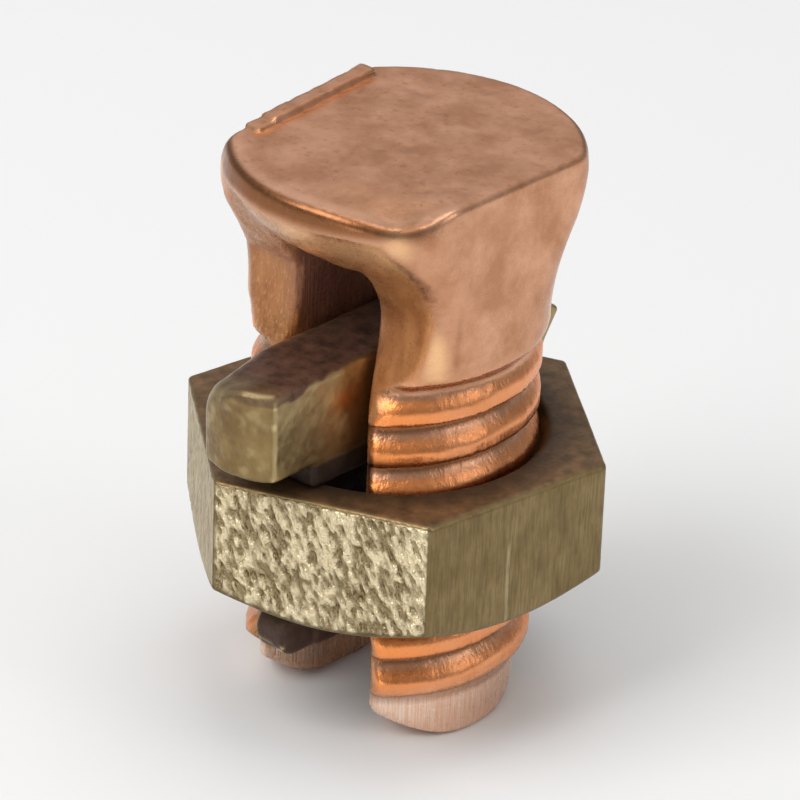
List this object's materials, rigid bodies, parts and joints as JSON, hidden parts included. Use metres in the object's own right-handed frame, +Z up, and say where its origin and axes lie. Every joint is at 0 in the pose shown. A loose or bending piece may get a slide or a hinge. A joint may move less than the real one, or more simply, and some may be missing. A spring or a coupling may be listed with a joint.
{
  "type": "split bolt connector",
  "caption": "Forged split bolt with a bell-mouthed wire slot, a hexagon nut and a captive pressure bar that clamps conductors side by side against the head.",
  "frame": {"origin": "on the bolt's axis, level with the leg ends that it stands on", "axes": "+Z up the bolt towards its head, Y along the wires, with the longer end of the bar at -Y, X across the slot"},
  "size_m": [0.0204, 0.0226, 0.0296],
  "materials": {
    "copper": "forged copper, satin with darker hollows",
    "nut_bronze": "cast bronze, pebbled and dull",
    "bar_bronze": "cast bronze, browned on top"
  },
  "bodies": {
    "bolt": {"split_bolt": "copper"},
    "bar": {"pressure_bar": "bar_bronze"},
    "nut": {"hex_nut": "nut_bronze"}
  },
  "joints": [
    {"name": "bar_slide", "type": "slide", "parent": "bolt", "child": "bar", "axis": [0, 0, 1], "range_m": [-0.0055, 0.0034]},
    {"name": "nut_turn", "type": "hinge", "parent": "bar", "child": "nut", "pos_m": [0, 0, 0.01105], "axis": [0, 0, 1], "range_deg": [-990, 630]}
  ],
  "couplings": [
    {"joint": "nut_turn", "follows": "bar_slide", "rad_per_m": 2968.4}
  ]
}
